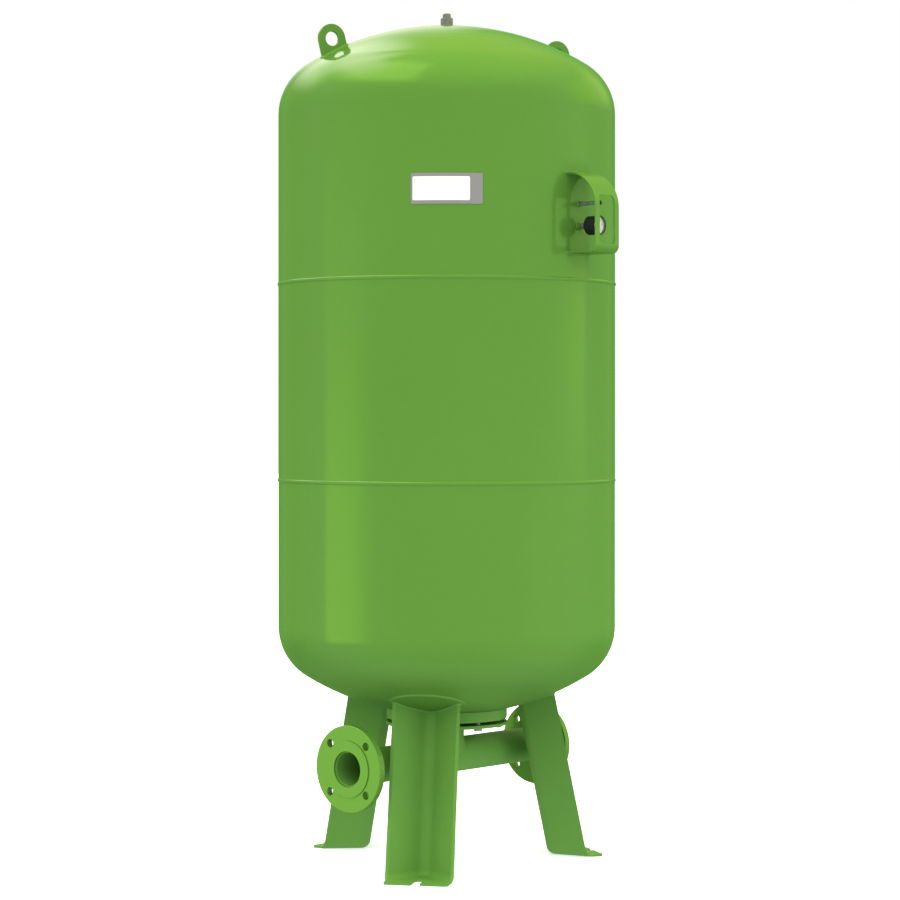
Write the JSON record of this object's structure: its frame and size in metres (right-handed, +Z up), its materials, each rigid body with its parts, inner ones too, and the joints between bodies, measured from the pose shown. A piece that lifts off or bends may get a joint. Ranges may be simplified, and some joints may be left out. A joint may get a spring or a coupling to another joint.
{
  "type": "expansion vessel",
  "caption": "Upright steel expansion vessel with dished ends, a bladder, a flanged cross pipe under a bolted cover, folded legs, lifting eyes and a gauge behind a guard.",
  "frame": {"origin": "vessel axis at floor level, the centre of the circle through the three foot anchor slots", "axes": "+Z up along the vessel axis; +X along the flow-through pipe towards the outlet flange; the gauge guard faces -Y"},
  "size_m": [0.7436, 0.8178, 1.8624],
  "materials": {
    "green_coat": "glossy green powder coat",
    "zinc_steel": "dull zinc plate",
    "nickel_brass": "dull nickel-plated brass",
    "bare_brass": "turned brass",
    "black_plastic": "black moulded plastic",
    "dial_white": "white dial with plain black marks",
    "gauge_glass": "clear",
    "butyl_rubber": "matt black butyl",
    "label_grey": "grey satin film",
    "label_white": "white film, bare"
  },
  "bodies": {
    "vessel": {"lower_shell": "green_coat", "middle_shell": "green_coat", "upper_shell": "green_coat", "lower_seam": "green_coat", "upper_seam": "green_coat", "neck_ring": "green_coat", "cover_plate": "green_coat", "cover_bolts": "zinc_steel", "bladder": "butyl_rubber", "hanger_socket": "zinc_steel", "hanger_plug": "zinc_steel", "hanger_plate": "zinc_steel", "hanger_washer": "zinc_steel", "hanger_nut": "zinc_steel", "flow_tee": "green_coat", "flow_divider": "zinc_steel", "inlet_flange": "green_coat", "outlet_flange": "green_coat", "leg_front_left": "green_coat", "leg_front_right": "green_coat", "leg_rear": "green_coat", "leg_pad_front_left": "green_coat", "leg_pad_front_right": "green_coat", "leg_pad_rear": "green_coat", "lifting_lug_left": "green_coat", "lifting_lug_right": "green_coat", "guard_hood": "green_coat", "gauge_socket": "green_coat", "gauge_stem": "nickel_brass", "gauge_case": "black_plastic", "gauge_dial": "dial_white", "gauge_arbor": "nickel_brass", "gauge_lens": "gauge_glass", "valve_socket": "green_coat", "valve_body": "nickel_brass", "valve_core": "bare_brass", "name_plate": "label_grey", "name_panel": "label_white"},
    "pointer": {"gauge_pointer": "black_plastic"},
    "cap": {"valve_cap": "black_plastic"},
    "pin": {"valve_pin": "bare_brass"}
  },
  "joints": [
    {"name": "pointer_turn", "type": "hinge", "parent": "vessel", "child": "pointer", "pos_m": [0, -0.421, 1.3779], "axis": [0, 1, 0], "range_deg": [-108, 162], "stiffness_Nm_per_rad": 0.0001},
    {"name": "cap_draw", "type": "slide", "parent": "vessel", "child": "cap", "axis": [0, -1, 0], "range_m": [0, 0.02]},
    {"name": "pin_press", "type": "slide", "parent": "vessel", "child": "pin", "axis": [0, 1, 0], "range_m": [0, 0.0015], "stiffness_N_per_m": 300}
  ]
}
